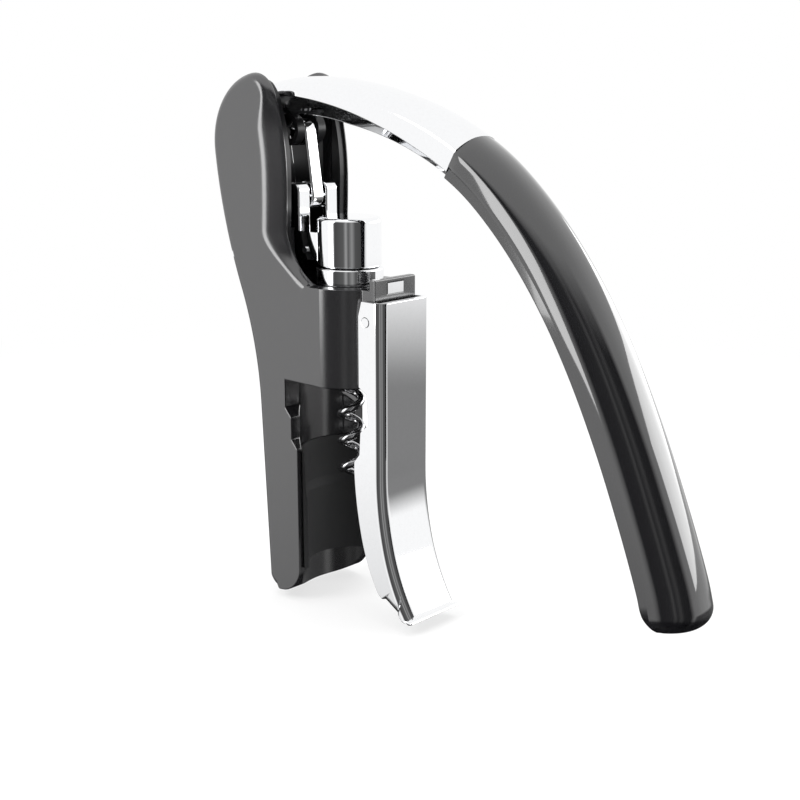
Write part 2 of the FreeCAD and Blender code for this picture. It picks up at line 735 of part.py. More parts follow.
# Worm: one unbroken wire on quarter turns of arcs, a tapered tip and its hub
def worm():
    radius = val("worm_mean_radius")
    wire = val("worm_wire")
    pitch = val("worm_pitch")
    tip = val("worm_tip")
    top = val("worm_hub_low") + 1.5
    quarters = math.ceil((top - tip) / (pitch / 4))

    def at(turn):
        angle = math.radians(turn)
        return Vector(radius * math.cos(angle), radius * math.sin(angle), tip + pitch * turn / TURN)

    def heading(turn):
        angle = math.radians(turn)
        slope = pitch / (2 * math.pi)
        return Vector(-radius * math.sin(angle), radius * math.cos(angle), slope).normalize()

    def arc(a, b, control):
        middle = (a + b) * 0.5
        half = (b - a).Length / 2
        height = (control - middle).Length
        reach = math.hypot(half, height)
        radius_here = half * reach / height
        sagitta = radius_here - math.sqrt(radius_here ** 2 - half ** 2)
        return Part.Arc(a, middle + (control - middle).normalize() * sagitta, b).toShape()

    def quarter(turn):
        """Two arcs that meet smoothly, from this turn to a quarter turn on."""
        a, b = at(turn), at(turn + QUARTER)
        t, u = heading(turn), heading(turn + QUARTER)
        chord = b - a
        both = t + u
        spread = 2 * (1 - t.dot(u))
        along = chord.dot(both)
        reach = (-along + math.sqrt(along ** 2 + spread * chord.dot(chord))) / spread
        joint = (a + b + (t - u) * reach) * 0.5
        return [arc(a, joint, a + t * reach), arc(joint, b, b - u * reach)]

    edges = []
    for number in range(1, quarters):
        edges += quarter(number * QUARTER)
    profile = Part.Wire([Part.Circle(at(QUARTER), heading(QUARTER), wire).toShape()])
    coil = Part.Wire(edges).makePipeShell([profile], True, False)
    small = Part.Wire([Part.Circle(at(0), heading(0), wire * 0.25).toShape()])
    point = Part.Wire(quarter(0)).makePipeShell([small, profile], True, False)
    hub = Part.makeCylinder(val("worm_hub_radius"), val("cap_top-cap_wall-bearing_wall-worm_hub_low"),
                            Vector(0, 0, val("worm_hub_low")))
    shape = coil.fuse([point, hub]).removeSplitter()
    samples = [at(turn) for turn in range(0, QUARTER * quarters, 15)]
    least = min((p - q).Length for i, p in enumerate(samples) for q in samples[i + 12:]) - 2 * wire
    print("worm: least gap between turns %.2f mm" % least)
    if len(shape.Solids) == 1:
        shape = shape.Solids[0]
    obj = doc.addObject("Part::Feature", "Worm")
    obj.Shape = shape
    keep(obj, "worm")
    low = "cap_top-cap_wall-bearing_wall"
    washer = upright("WasherOuter", "worm_hub_radius-0.6", low, low + "+washer_thickness")
    keep(cut("WasherCut", washer, upright("WasherBore", "1.2", low + "-1", low + "+1")), "worm_thrust_washer")
    low = "worm_hub_low-0.1-clip_thickness"
    clip = upright("ClipOuter", "cap_radius-cap_wall-0.4", low, low + "+clip_thickness")
    keep(cut("ClipCut", clip, upright("ClipBore", "clip_bore", low + "-1", low + "+2")), "worm_retaining_clip")


# Link between the lever's fork and the carriage
def link():
    half = "link_width/2"
    run = "sqrt((link_top_x-link_low_x)^2+(link_top_z-link_low_z)^2)"
    turn = math.degrees(math.atan2(val("link_top_z-link_low_z"), val("link_top_x-link_low_x")))
    bar = doc.addObject("Part::Box", "LinkBar")
    bind(bar, Length=run, Width="link_width", Height="2*link_half_depth")
    tilt = Rotation(Vector(0, 1, 0), -turn)
    corner = Vector(val("link_low_x"), val("-link_width/2"), val("link_low_z"))
    bar.Placement = Placement(corner + tilt.multVec(Vector(0, 0, -val("link_half_depth"))), tilt)
    low = crosswise("LinkEyeLow", "link_half_depth", "link_low_x", "link_low_z", "-" + half, half)
    top = crosswise("LinkEyeTop", "link_half_depth", "link_top_x", "link_top_z", "-" + half, half)
    solid = join("LinkJoined", [bar, low, top])
    holes = join("LinkHoles", [
        crosswise("LinkHoleLow", "link_pin_radius+pin_clearance", "link_low_x", "link_low_z", "-9", "9"),
        crosswise("LinkHoleTop", "link_pin_radius", "link_top_x", "link_top_z", "-9", "9"),
    ])
    keep(cut("LinkCut", solid, holes), "link")
    reach = "link_width/2+side_gap+fork_wall+0.6"
    keep(crosswise("TopPin", "link_pin_radius", "link_top_x", "link_top_z", "-(%s)" % reach, reach),
         "link_upper_pin")


# Lever: each section is a rounded D, square to the crown line
LEVER_LINE = (
    # shares of the reach from the pivot, across and up, and slope of the crown line in degrees
    (-0.0145, 0.0261, 18.0),
    (0.0261, 0.0498, 14.0),
    (0.0898, 0.0608, 5.0),
    (0.1708, 0.0631, -2.0),
    (0.2635, 0.0544, -8.5),
    (0.3561, 0.0359, -14.5),
    (0.4488, 0.0069, -21.0),
    (0.5356, -0.0336, -30.0),
    (0.6109, -0.0851, -39.0),
    (0.6920, -0.1627, -47.0),
    (0.7672, -0.2565, -54.5),
    (0.8338, -0.3625, -60.5),
    (0.8946, -0.4818, -65.0),
    (0.9467, -0.6022, -68.0),
    (0.9844, -0.7006, -70.5),
    (1.0000, -0.7504, -75.0),
)
GRIP_START = 7
GROWTH = 0.12
NECK_SLANT = (
    # shares of the lever's depth at which the arm's sides start to slope in, and the slope's width
    (0.478, 0.290),
    (0.478, 0.290),
    (0.478, 0.319),
    (0.551, 0.333),
    (0.623, 0.304),
    (0.710, 0.232),
    (0.783, 0.159),
    (0.826, 0.116),
)
SHOULDER = (0.72, 0.24)
TIP_SHRINK = (0.86, 0.9)


def section(x, z, slope, width, depth, crown, corner, low=0.0, slant=None):
    """A closed D section square to the crown line, its top at (x, z).

    A slant gives the drop at which the sides start to slope in, and how far in they go.
    """
    half = width / 2
    angle = math.radians(slope)
    down = Vector(math.sin(angle), 0, -math.cos(angle))

    def at(y, drop):
        return Vector(x, y, z) + down * drop

    top = at(0, low)
    left = at(-half, crown + low)
    right = at(half, crown + low)
    shoulder = at(-half * SHOULDER[0], low + crown * SHOULDER[1])
    shoulder_right = at(half * SHOULDER[0], low + crown * SHOULDER[1])
    crest = [Part.Arc(left, shoulder, top).toShape(), Part.Arc(top, shoulder_right, right).toShape()]
    if slant:
        drop, inset = slant
        points = [right, at(half, drop), at(half - inset, depth), at(-half + inset, depth), at(-half, drop), left]
        edges = [Part.LineSegment(p, q).toShape() for p, q in zip(points, points[1:])]
        return Part.Wire(crest + edges)
    k = corner * (1 - math.sqrt(0.5))
    edges = crest + [
        Part.LineSegment(right, at(half, depth - corner)).toShape(),
        Part.Arc(at(half, depth - corner), at(half - k, depth - k), at(half - corner, depth)).toShape(),
        Part.LineSegment(at(half - corner, depth), at(-half + corner, depth)).toShape(),
        Part.Arc(at(-half + corner, depth), at(-half + k, depth - k), at(-half, depth - corner)).toShape(),
        Part.LineSegment(at(-half, depth - corner), left).toShape(),
    ]
    return Part.Wire(edges)


def station(number):
    """Place and slope of one section of the lever, and the depth of the lever there."""
    across, up, slope = LEVER_LINE[number]
    reach = val("lever_reach")
    grow = 1 + GROWTH * max(number - GRIP_START, 0) / (len(LEVER_LINE) - 1 - GRIP_START)
    return val("pivot_x") + across * reach, val("pivot_z") + up * reach, slope, val("lever_depth") * grow


def lever():
    width = val(LEVER_WIDTH)
    crown = val("crown_rise")
    corner = val("belly_round")
    head = val(HEAD_WIDTH)
    inset = val("neck_inset")
    arm_sections = []
    for number in range(GRIP_START + 1):
        x, z, slope, depth = station(number)
        inward = min(number, 3) / 3
        thin = val("neck_thinning") * (1 - inward) if number > 1 else 0
        slant = [share * depth for share in NECK_SLANT[number]]
        arm_sections.append(section(x, z, slope, head + (width - 2 * inset - head) * inward,
                                    depth - inset - thin, crown, corner, 0.0, slant))
    obj = doc.addObject("Part::Feature", "ArmLoft")
    obj.Shape = Part.makeLoft(arm_sections, True, False)
    boss = crosswise("ArmBoss", "pivot_radius+boss_wall", "pivot_x", "pivot_z",
                     "-%s/2" % HEAD_WIDTH, "%s/2" % HEAD_WIDTH)
    solid = join("ArmJoined", [obj, boss, fork_block()])
    gap = "link_width/2+side_gap"
    relief = box("ForkGap", "link_top_x-fork_gap_back", "link_top_x+fork_gap_front", "-(%s)" % gap, gap,
                 "link_top_z-15", "link_top_z+fork_gap_top")
    hole = crosswise("ArmPivotHole", "pivot_radius+pin_clearance", "pivot_x", "pivot_z", "-body_width", "body_width")
    keep(cut("ArmCut", solid, join("ArmTools", [relief, slot_tool(), hole])), "lever_arm")

    cover_sections = []
    insert_sections = []
    insert = val("insert_depth")
    last = len(LEVER_LINE) - 1
    for number in range(GRIP_START, last + 1):
        x, z, slope, depth = station(number)
        shrink = TIP_SHRINK if number == last else (1, 1)
        wide = width * shrink[0]
        deep = depth * shrink[1]
        cover_sections.append(section(x, z, slope, wide, deep - insert, crown, val("cover_round")))
        insert_sections.append(section(x, z, slope, wide - 2 * val("insert_inset"), deep, val("insert_rise"),
                                       corner, deep - insert - val("insert_rise") * 2))
    cover = doc.addObject("Part::Feature", "GripCover")
    cover.Shape = Part.makeLoft(cover_sections, True, False)
    keep(cover, "grip_cover")
    belly = doc.addObject("Part::Feature", "GripInsert")
    belly.Shape = Part.makeLoft(insert_sections, True, False)
    screws = []
    recesses = []
    for number in (GRIP_START + 2, last - 2):
        screws.append(screw("Screw%d" % number, number, "screw_radius", "screw_head", 0.0))
        recesses.append(screw("Recess%d" % number, number, "screw_radius+pin_clearance", "2*screw_head", 0.02))
    keep(cut("InsertCut", cut("InsertSeat", belly, cover), join("RecessJoined", recesses)), "grip_insert")
    keep(compound("GripScrews", screws), "grip_screws")


def screw(name, number, radius, height, below):
    """A screw's head in the grip's belly, or the recess that takes it."""
    x, z, slope, depth = station(number)
    angle = math.radians(slope)
    down = Vector(math.sin(angle), 0, -math.cos(angle))
    obj = doc.addObject("Part::Cylinder", name)
    bind(obj, Radius=radius, Height=height)
    start = Vector(x, 0, z) + down * (depth - val("insert_depth") + val("screw_sink") + val("insert_rise") - below)
    obj.Placement = Placement(start, Rotation(Vector(0, 0, 1), down))
    return obj


def fork_block():
    """The head's two lugs, in one block before the link's gap is cut."""
    centre_x = "pivot_x+slot_centre_x"
    centre_z = "pivot_z+slot_centre_z"
    reach = val("slot_run") / 2
    half = "link_width/2+side_gap+fork_wall"
    pieces = []
    for number, side in enumerate((-1, 1)):
        x = "%s+(%d)*slot_run/2*cos(slot_tilt)" % (centre_x, side)
        z = "%s+(%d)*slot_run/2*sin(slot_tilt)" % (centre_z, side)
        pieces.append(crosswise("ForkEnd%d" % number, "slot_height/2+link_pin_radius+fork_rim", x, z,
                                "-(%s)" % half, half))
    web = doc.addObject("Part::Box", "ForkWeb")
    bind(web, Length="slot_run", Width="2*(%s)" % half, Height="slot_height+2*link_pin_radius+2*fork_rim")
    turn = Rotation(Vector(0, 1, 0), -val("slot_tilt"))
    corner = Vector(-reach, -val(half), -val("slot_height/2+link_pin_radius+fork_rim"))
    middle = Vector(val(centre_x), 0, val(centre_z))
    web.Placement = Placement(middle + turn.multVec(corner), turn)
    neck = box("ForkNeck", "pivot_x", centre_x, "-(%s)" % half, half, "pivot_z-5", "pivot_z+8")
    return join("ForkJoined", pieces + [web, neck])


def slot_tool():
    """The slot that the link's upper pin wanders in as the lever swings."""
    centre_x = "pivot_x+slot_centre_x"
    centre_z = "pivot_z+slot_centre_z"
    reach = val("slot_run") / 2
    radius = "slot_height/2+link_pin_radius"
    pieces = []
    for number, side in enumerate((-1, 1)):
        x = "%s+(%d)*slot_run/2*cos(slot_tilt)" % (centre_x, side)
        z = "%s+(%d)*slot_run/2*sin(slot_tilt)" % (centre_z, side)
        pieces.append(crosswise("SlotEnd%d" % number, radius, x, z, "-body_width/2", "body_width/2"))
    web = doc.addObject("Part::Box", "SlotWeb")
    bind(web, Length="slot_run", Width="body_width", Height="2*(%s)" % radius)
    turn = Rotation(Vector(0, 1, 0), -val("slot_tilt"))
    corner = Vector(-reach, -val("body_width/2"), -val(radius))
    middle = Vector(val(centre_x), 0, val(centre_z))
    web.Placement = Placement(middle + turn.multVec(corner), turn)
    return join("SlotJoined", pieces + [web])


# Front jaw: a chrome channel that hangs on its pin, and the rubber block inside it
JAW_REAR = (
    ("jaw_rear+1.4", "jaw_top"),
    ("jaw_rear", "jaw_pin_z+1.7"),
    ("jaw_rear", "collar_bottom+1"),
    ("jaw_rear+3.4", "collar_bottom-0.8"),
    ("jaw_rear+4.2", "notch_step_high+2"),
    ("jaw_rear+0.6", "notch_step_high-1.3"),
    ("jaw_rear+0.1", "notch_step_low+1.8"),
    ("jaw_rear-2.2", "notch_step_low-1"),
    ("jaw_rear-2.3", "notch_step_low-3.4", "-120"),
    ("jaw_rear+1.2", "2.4", "-60"),
    ("jaw_rear+8", "-13.5", "-26"),
    ("jaw_flare-3", "jaw_bottom+1"),
)


JAW_FACE = (
    ("jaw_flare", "jaw_bottom"),
    ("jaw_flare+1.6", "jaw_bottom+0.7", "before"),
    ("jaw_face+3", "1.7", "before"),
    ("jaw_face", "26"),
    ("jaw_face", "jaw_top"),
)


def front_jaw():
    body = new_body("front_jaw")
    pad(body, outline(body, "jaw_side", "XZ_Plane", JAW_FACE + JAW_REAR), "jaw_block", "2*jaw_half_width")

    def front_edge(edge, middle):
        side = abs(abs(middle.y) - val("jaw_half_width")) < 0.01
        return side and middle.x > val("jaw_face-0.5") and middle.z > val("jaw_bottom/2")

    round_edges(body, "jaw_soft", "jaw_round", front_edge)
    hollow = [
        ("jaw_flare+0.5", "jaw_bottom-3", "110"),
        ("jaw_face+3-jaw_face_wall", "1.7", "110"),
        ("jaw_face-jaw_face_wall", "26"),
        ("jaw_face-jaw_face_wall", "jaw_top+3"),
        ("0", "jaw_top+3"),
        ("0", "jaw_bottom-3"),
    ]
    pocket(body, outline(body, "jaw_hollow", "XZ_Plane", hollow), "jaw_channel", "2*(jaw_half_width-jaw_wall)")
    pin = circle(body, "jaw_pin_circle", "XZ_Plane", "jaw_pin_x", "jaw_pin_z", "jaw_pin_radius+pin_clearance")
    pocket(body, pin, "jaw_pin_bore", "4*body_width")

    block = new_body("jaw_insert")
    side = [
        ("jaw_rear-0.5", "insert_bottom"),
        ("jaw_face-jaw_face_wall", "insert_bottom"),
        ("jaw_face-jaw_face_wall", "insert_top"),
        ("jaw_rear+4.5", "insert_top"),
        ("jaw_rear+4.5", "notch_step_high+2"),
        ("jaw_rear+1", "notch_step_high-1.3"),
        ("jaw_rear+0.6", "notch_step_low+1.8"),
        ("jaw_rear-5.5", "notch_step_low-1"),
        ("jaw_rear-5.5", "insert_bottom+10"),
    ]
    width = "2*(jaw_half_width-jaw_wall)"
    pad(block, outline(block, "insert_side", "XZ_Plane", side), "insert_block", width)
    neck = circle(block, "insert_neck", "XY_Plane", "0", "0", "neck_radius+0.3")
    pocket(block, neck, "insert_hollow", "3*head_top")


def check(objects):
    for obj in doc.Objects:
        if "Invalid" in obj.State or "Error" in obj.State:
            raise RuntimeError("%s is %s" % (obj.Label, obj.State))
    for obj in objects:
        shape = obj.Shape
        if shape.isNull() or not shape.isValid() or not shape.Solids:
            raise RuntimeError(obj.Label + " has no valid solid")
    print("%d sub-parts" % len(objects))


body_shell()
guide_plate("guide_plate_right", -1)
guide_plate("guide_plate_left", 1)
frame_hardware()
neck_pads()
worm_guide()
carriage()
worm()
link()
lever()
front_jaw()
doc.recompute()
check(PARTS)

os.makedirs("parts", exist_ok=True)
for part in PARTS:
    part.Shape.exportStep("parts/%s.step" % part.Label)
    box_here = part.Shape.BoundBox
    print("%-20s solids %d volume %9.1f  x %.1f..%.1f y %.1f..%.1f z %.1f..%.1f" % (
        part.Label, len(part.Shape.Solids), part.Shape.Volume, box_here.XMin, box_here.XMax,
        box_here.YMin, box_here.YMax, box_here.ZMin, box_here.ZMax))
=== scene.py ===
import math

import bmesh
import bpy
import numpy as np
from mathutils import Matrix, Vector


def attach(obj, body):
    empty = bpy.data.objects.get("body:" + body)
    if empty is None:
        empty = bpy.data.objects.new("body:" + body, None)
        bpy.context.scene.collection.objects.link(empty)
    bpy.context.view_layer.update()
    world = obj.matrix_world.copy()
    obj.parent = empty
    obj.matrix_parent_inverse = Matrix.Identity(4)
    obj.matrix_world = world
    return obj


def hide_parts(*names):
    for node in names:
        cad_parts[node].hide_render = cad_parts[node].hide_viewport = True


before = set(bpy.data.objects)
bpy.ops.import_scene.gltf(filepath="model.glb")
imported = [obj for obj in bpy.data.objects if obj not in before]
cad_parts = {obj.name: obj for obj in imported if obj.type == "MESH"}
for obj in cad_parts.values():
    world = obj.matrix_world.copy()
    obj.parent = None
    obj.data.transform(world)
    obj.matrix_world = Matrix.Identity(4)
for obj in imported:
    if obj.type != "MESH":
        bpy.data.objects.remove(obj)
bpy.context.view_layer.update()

MM = 0.001


# --- Meshes in millimetres ---------------------------------------------------------------


def new_object(name, mesh):
    obj = bpy.data.objects.new(name, mesh)
    bpy.context.scene.collection.objects.link(obj)
    return obj


def mesh_object(name, verts, faces):
    mesh = bpy.data.meshes.new(name)
    mesh.from_pydata([(x * MM, y * MM, z * MM) for x, y, z in verts], [], faces)
    bm = bmesh.new()
    bm.from_mesh(mesh)
    bmesh.ops.remove_doubles(bm, verts=bm.verts, dist=1e-7)
    bmesh.ops.recalc_face_normals(bm, faces=bm.faces)
    bm.to_mesh(mesh)
    bm.free()
    return new_object(name, mesh)


def bake(obj):
    """Replace the object's mesh by what its modifiers make of it."""
    graph = bpy.context.evaluated_depsgraph_get()
    mesh = bpy.data.meshes.new_from_object(obj.evaluated_get(graph))
    obj.modifiers.clear()
    obj.data = mesh


def carve(obj, tool, operation="DIFFERENCE"):
    """Cut the tool from the object, or join or intersect the two, and drop the tool."""
    modifier = obj.modifiers.new("carve", "BOOLEAN")
    modifier.operation = operation
    modifier.solver = "EXACT"
    modifier.object = tool
    bake(obj)
    bpy.data.objects.remove(tool)


def soften(obj, wanted, width, segments=4):
    """Round the edges for which wanted(first end, second end, turn in degrees) says so."""
    bm = bmesh.new()
    bm.from_mesh(obj.data)
    edges = []
    for edge in bm.edges:
        if len(edge.link_faces) != 2:
            continue
        a, b = (v.co / MM for v in edge.verts)
        if wanted(a, b, math.degrees(edge.calc_face_angle(0.0))):
            edges.append(edge)
    bmesh.ops.bevel(bm, geom=edges, offset=width * MM, segments=segments, profile=0.5,
                    affect="EDGES", clamp_overlap=False)
    bmesh.ops.recalc_face_normals(bm, faces=bm.faces)
    bm.to_mesh(obj.data)
    bm.free()
    return obj


def shade(obj, angle=32):
    """Smooth shading with creases, weighted so that flat faces stay flat."""
    for polygon in obj.data.polygons:
        polygon.use_smooth = True
    obj.data.set_sharp_from_angle(angle=math.radians(angle))
    modifier = obj.modifiers.new("weighted", "WEIGHTED_NORMAL")
    modifier.keep_sharp = True
    modifier.weight = 60


def trace(corners, step=1.2):
    """Dense points through corners (x, z) or (x, z, arc), as in a drawing.

    The arc that leads on has a signed radius, positive to bulge left of the way,
    or "after" to run on smoothly from the edge before it.
    """
    points = []
    heading = None
    count = len(corners)
    for i, corner in enumerate(corners):
        a = Vector(corner[:2])
        b = Vector(corners[(i + 1) % count][:2])
        chord = b - a
        if len(corner) == 2:
            points.append(tuple(a))
            heading = chord.normalized()
            continue
        if corner[2] == "after":
            cross = heading.x * chord.y - heading.y * chord.x
            radius = -chord.length_squared / (2 * cross)
        else:
            radius = corner[2]
        half = chord.length / 2
        rise = abs(radius) - math.sqrt(radius * radius - half * half)
        normal = Vector((-chord.y, chord.x)).normalized() * math.copysign(1, radius)
        middle = (a + b) / 2
        centre = middle + normal * (rise - abs(radius))
        start = math.atan2(a.y - centre.y, a.x - centre.x)
        sweep = 2 * math.asin(half / abs(radius)) * (-1 if radius > 0 else 1)
        parts = max(2, math.ceil(abs(radius * sweep) / step))
        for k in range(parts):
            turn = start + sweep * k / parts
            points.append((centre.x + abs(radius) * math.cos(turn),
                           centre.y + abs(radius) * math.sin(turn)))
        end = start + sweep
        side = -1 if radius > 0 else 1
        heading = Vector((-math.sin(end), math.cos(end))) * side
    return points


def prism(name, points, low, high, axis="Y"):
    """Points of a closed outline, pushed along an axis: XZ outlines along Y, XY ones along Z."""
    count = len(points)
    if axis == "Y":
        verts = [(x, low, z) for x, z in points] + [(x, high, z) for x, z in points]
    else:
        verts = [(x, y, low) for x, y in points] + [(x, y, high) for x, y in points]
    faces = [tuple(range(count)), tuple(range(count, 2 * count))]
    faces += [(i, (i + 1) % count, (i + 1) % count + count, i + count) for i in range(count)]
    return mesh_object(name, verts, faces)


def ring_of(radius, count=96, x=0.0, y=0.0):
    """A circle's points round (x, y), which stand for (x, z) in an outline along Y."""
    turns = [2 * math.pi * i / count for i in range(count)]
    return [(x + radius * math.cos(turn), y + radius * math.sin(turn)) for turn in turns]


def capsule(x0, z0, x1, z1, radius, count=24):
    """A slot-shaped outline round two centres in the XZ plane."""
    along = math.atan2(z1 - z0, x1 - x0)
    points = []
    for cx, cz, first in ((x0, z0, along + math.pi / 2), (x1, z1, along - math.pi / 2)):
        for k in range(count + 1):
            turn = first + math.pi * k / count
            points.append((cx + radius * math.cos(turn), cz + radius * math.sin(turn)))
    return points


def turned(name, profile, count=128):
    """A closed profile of (radius, z) turned about Z."""
    verts = []
    size = len(profile)
    for i in range(count):
        turn = 2 * math.pi * i / count
        verts += [(r * math.cos(turn), r * math.sin(turn), z) for r, z in profile]
    faces = []
    for i in range(count):
        j = (i + 1) % count
        faces += [(i * size + k, j * size + k, j * size + (k + 1) % size, i * size + (k + 1) % size)
                  for k in range(size)]
    return mesh_object(name, verts, faces)


def rounded(points, radii, parts=5):
    """A closed 2-D outline with each corner of a radius over 0 turned into an arc."""
    result = []
    count = len(points)
    for i, radius in enumerate(radii):
        here = Vector(points[i])
        if radius <= 0:
            result.append(tuple(here))
            continue
        back = (Vector(points[i - 1]) - here).normalized()
        ahead = (Vector(points[(i + 1) % count]) - here).normalized()
        half = back.angle(ahead) / 2
        reach = radius / math.tan(half)
        centre = here + (back + ahead).normalized() * radius / math.sin(half)
        start = here + back * reach - centre
        end = here + ahead * reach - centre
        total = start.angle(end)
        for k in range(parts + 1):
            share = k / parts
            arm = start * math.sin((1 - share) * total) + end * math.sin(share * total)
            result.append(tuple(centre + arm / math.sin(total)))
    return result


def skin(name, rings):
    """A closed surface through rings with the same number of points, flat at both ends."""
    size = len(rings[0])
    verts = [point for ring in rings for point in ring]
    faces = []
    for low in range(0, len(verts) - size, size):
        high = low + size
        faces += [(low + k, low + (k + 1) % size, high + (k + 1) % size, high + k)
                  for k in range(size)]
    faces += [tuple(range(size)), tuple(range(len(verts) - size, len(verts)))]
    return mesh_object(name, verts, faces)


def smooth_line(points, per_span):
    """A Catmull-Rom line through points, as (position, tangent) arrays."""
    p = np.array(points, float)
    p = np.vstack([2 * p[0] - p[1], p, 2 * p[-1] - p[-2]])
    places = []
    slopes = []
    for i in range(1, len(p) - 2):
        last = i == len(p) - 3
        for k in range(per_span + (1 if last else 0)):
            t = k / per_span
            a, b, c, d = p[i - 1], p[i], p[i + 1], p[i + 2]
            m, n = (c - a) / 2, (d - b) / 2
            places.append((2 * t**3 - 3 * t**2 + 1) * b + (t**3 - 2 * t**2 + t) * m
                          + (3 * t**2 - 2 * t**3) * c + (t**3 - t**2) * n)
            slopes.append((6 * t**2 - 6 * t) * b + (3 * t**2 - 4 * t + 1) * m
                          + (6 * t - 6 * t**2) * c + (3 * t**2 - 2 * t) * n)
    return np.array(places), np.array(slopes)


# --- Materials -----------------------------------------------------------------------------


def material(name, base, metallic, roughness, grain, bump=0.0, coat=0.0, spread=0.03,
             tint=0.06, ior=1.5):
    """A shader whose roughness and colour vary slightly with two scales of noise.

    Grain is the fine noise's scale, which also drives the bump. Spread is how far the
    roughness varies, and tint how far the colour does, as a share of it.
    """
    mat = bpy.data.materials.new(name)
    mat.use_nodes = True
    nodes = mat.node_tree.nodes
    links = mat.node_tree.links
    shader = nodes["Principled BSDF"]
    shader.inputs["Metallic"].default_value = metallic
    shader.inputs["IOR"].default_value = ior
    if coat:
        shader.inputs["Coat Weight"].default_value = coat
        shader.inputs["Coat Roughness"].default_value = 0.03
    place = nodes.new("ShaderNodeTexCoord")
    fine = nodes.new("ShaderNodeTexNoise")
    fine.inputs["Scale"].default_value = grain
    fine.inputs["Detail"].default_value = 4.0
    broad = nodes.new("ShaderNodeTexNoise")
    broad.inputs["Scale"].default_value = 28.0
    broad.inputs["Detail"].default_value = 2.0
    for noise in (fine, broad):
        links.new(place.outputs["Object"], noise.inputs["Vector"])
    gloss = nodes.new("ShaderNodeMapRange")
    gloss.inputs["From Min"].default_value = 0.3
    gloss.inputs["From Max"].default_value = 0.7
    gloss.inputs["To Min"].default_value = max(roughness - spread, 0.01)
    gloss.inputs["To Max"].default_value = roughness + spread
    links.new(broad.outputs["Fac"], gloss.inputs["Value"])
    links.new(gloss.outputs["Result"], shader.inputs["Roughness"])
    ramp = nodes.new("ShaderNodeValToRGB")
    ramp.color_ramp.elements[0].position = 0.3
    ramp.color_ramp.elements[1].position = 0.7
    ramp.color_ramp.elements[0].color = [c * (1 - tint) for c in base] + [1]
    ramp.color_ramp.elements[1].color = [min(c * (1 + tint), 1) for c in base] + [1]
    links.new(fine.outputs["Fac"], ramp.inputs["Fac"])
    links.new(ramp.outputs["Color"], shader.inputs["Base Color"])
    if bump:
        relief = nodes.new("ShaderNodeBump")
        relief.inputs["Strength"].default_value = bump
        relief.inputs["Distance"].default_value = 0.0001
        links.new(fine.outputs["Fac"], relief.inputs["Height"])
        links.new(relief.outputs["Normal"], shader.inputs["Normal"])
    return mat


CHROME = material("polished_chrome", (0.94, 0.945, 0.955), 1.0, 0.045, 900, spread=0.015,
                  tint=0.01)
SATIN = material("satin_black", (0.012, 0.0118, 0.0132), 0.0, 0.2, 2500, bump=0.03,
                 spread=0.02, ior=2.1)
FRAME = material("dark_frame", (0.012, 0.012, 0.013), 0.2, 0.3, 1800, bump=0.05)
GLOSS = material("gloss_black", (0.006, 0.006, 0.007), 0.0, 0.07, 700, coat=1.0,
                 spread=0.02, ior=1.75)
STEEL = material("turned_steel", (0.56, 0.56, 0.57), 1.0, 0.22, 1500, bump=0.03)
RUBBER = material("rubber", (0.016, 0.016, 0.017), 0.0, 0.7, 2200, bump=0.3, spread=0.08)
NYLON = material("nylon", (0.075, 0.075, 0.08), 0.0, 0.45, 1200, bump=0.1)


def finish_piece(obj, body, nodes, mat, angle=32):
    """Shade a piece, give it its material, hang it on the body it rides on and hide the CAD nodes
    it stands for.
    """
    shade(obj, angle)
    obj.data.materials.clear()
    obj.data.materials.append(mat)
    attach(obj, body)
    if nodes:
        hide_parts(*nodes)


# --- Places in the XZ plane that several pieces share ------------------------------------------

PIVOT = (-37.5, 139.0)
LINK_PIN = (-18.0, 111.7)
JAW_HINGE = (18.0, 75.3)
FORK_SLOT = (-24.1, 134.9)

# --- Body casting -----------------------------------------------------------------------------

SIDE = [
    (-24.6, -18.0), (-27.6, 43.0, "after"), (-36.0, 81.0, "after"), (-43.3, 103.0, "after"),
    (-47.5, 126.0, "after"), (-41.0, 144.7, "after"), (-29.5, 150.9, "after"),
    (-22.5, 149.3, "after"), (-18.6, 144.0, "after"), (-14.2, 118.0, "after"),
    (-14.8, 101.0, -24), (-1.0, 85.0), (18.0, 85.0), (18.0, 53.0), (-13.8, 53.0), (-13.8, 43.5),
    (-11.1, 40.5), (-11.1, 33.0), (-8.4, 30.0), (-8.4, -13.5, 11), (-20.0, -22.0, 6),
]
HALF_WIDTH = 17.0
EDGE_ROUND = 3.0
COLLAR_TOP = 85.0
COLLAR_BOTTOM = 53.0
COLLAR_RADIUS = 17.3
COLLAR_FRONT = 3.2
CHANNEL_HALF = 13.4
BOSS_HALF = 9.4
BOSS_RADIUS = 4.2
BORES = ((14.9, 40, 61), (9.0, 60, 67), (12.3, 66, 92), (17.1, -30, COLLAR_BOTTOM))
SLOPE_REACH = 9.4
SLOPE_START = 3.2
SLOPE_LOW, SLOPE_LOW_FADE = 86, 14
SLOPE_HIGH, SLOPE_HIGH_FADE = 148, 16


